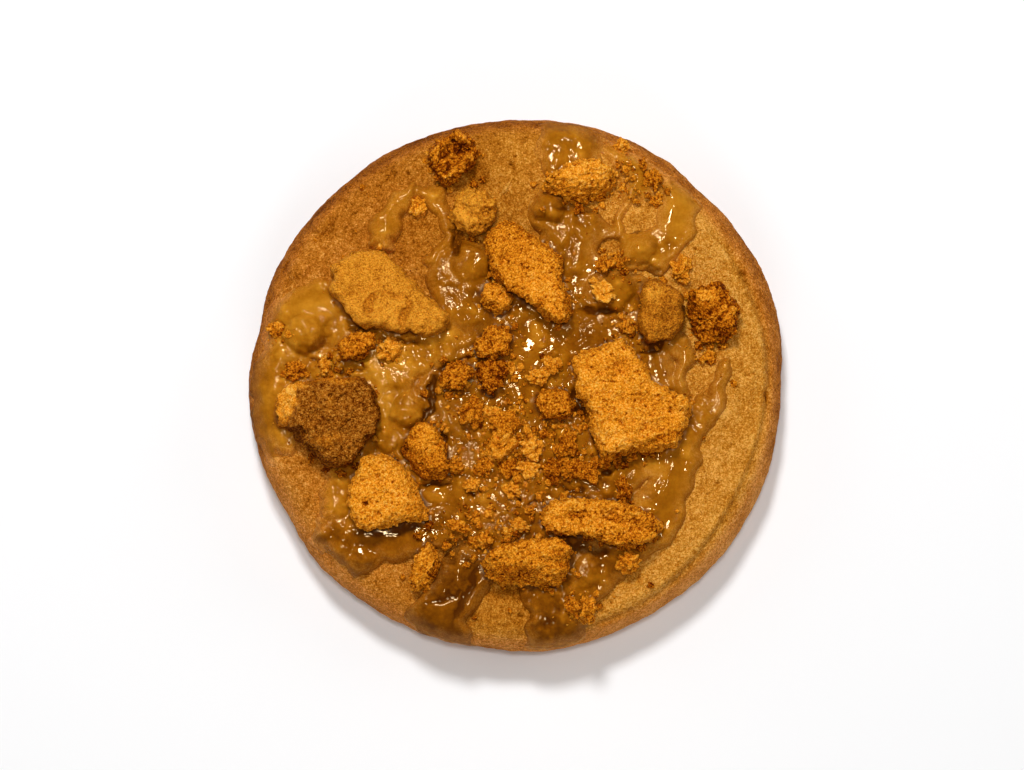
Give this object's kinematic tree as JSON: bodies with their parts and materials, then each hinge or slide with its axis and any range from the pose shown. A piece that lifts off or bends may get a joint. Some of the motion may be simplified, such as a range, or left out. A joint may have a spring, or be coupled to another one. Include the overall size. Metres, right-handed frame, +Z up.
{
  "type": "speculoos cookie",
  "caption": "Thick round baked cookie smeared with lumpy biscuit spread and topped with broken pieces and crumbs of spiced biscuit.",
  "frame": {"origin": "middle of the flat underside of the cookie", "axes": "+Z up, through the cookie's thickness; +Y towards the top of the picture, +X to its right"},
  "size_m": [0.1076, 0.1072, 0.0267],
  "materials": {
    "dough": "baked dough, golden brown, fine-grained and slightly greasy",
    "spread": "wet, glossy caramel-brown biscuit spread with fine grit in it",
    "biscuit": "broken spiced biscuit, bright golden brown, dry and crumbly",
    "coated_biscuit": "broken biscuit under a thin dull coat of spread",
    "dark_biscuit": "broken spiced biscuit, dark red-brown and porous"
  },
  "bodies": {
    "root": {"cookie": "dough", "piece_top_left": "biscuit", "piece_top": "biscuit", "piece_coated_top": "coated_biscuit", "piece_upper_middle": "biscuit", "piece_coated_left": "coated_biscuit", "piece_small_upper": "biscuit", "piece_small_left": "biscuit", "piece_middle": "biscuit", "piece_dark_middle": "dark_biscuit", "piece_middle_left": "biscuit", "piece_dark_left": "dark_biscuit", "piece_lower_left": "biscuit", "piece_lower_middle": "biscuit", "piece_small_right": "biscuit", "piece_large_right": "biscuit", "piece_coated_right": "coated_biscuit", "piece_far_right": "dark_biscuit", "piece_long_lower": "biscuit", "piece_bottom": "biscuit", "piece_small_bottom": "biscuit"}
  },
  "joints": []
}
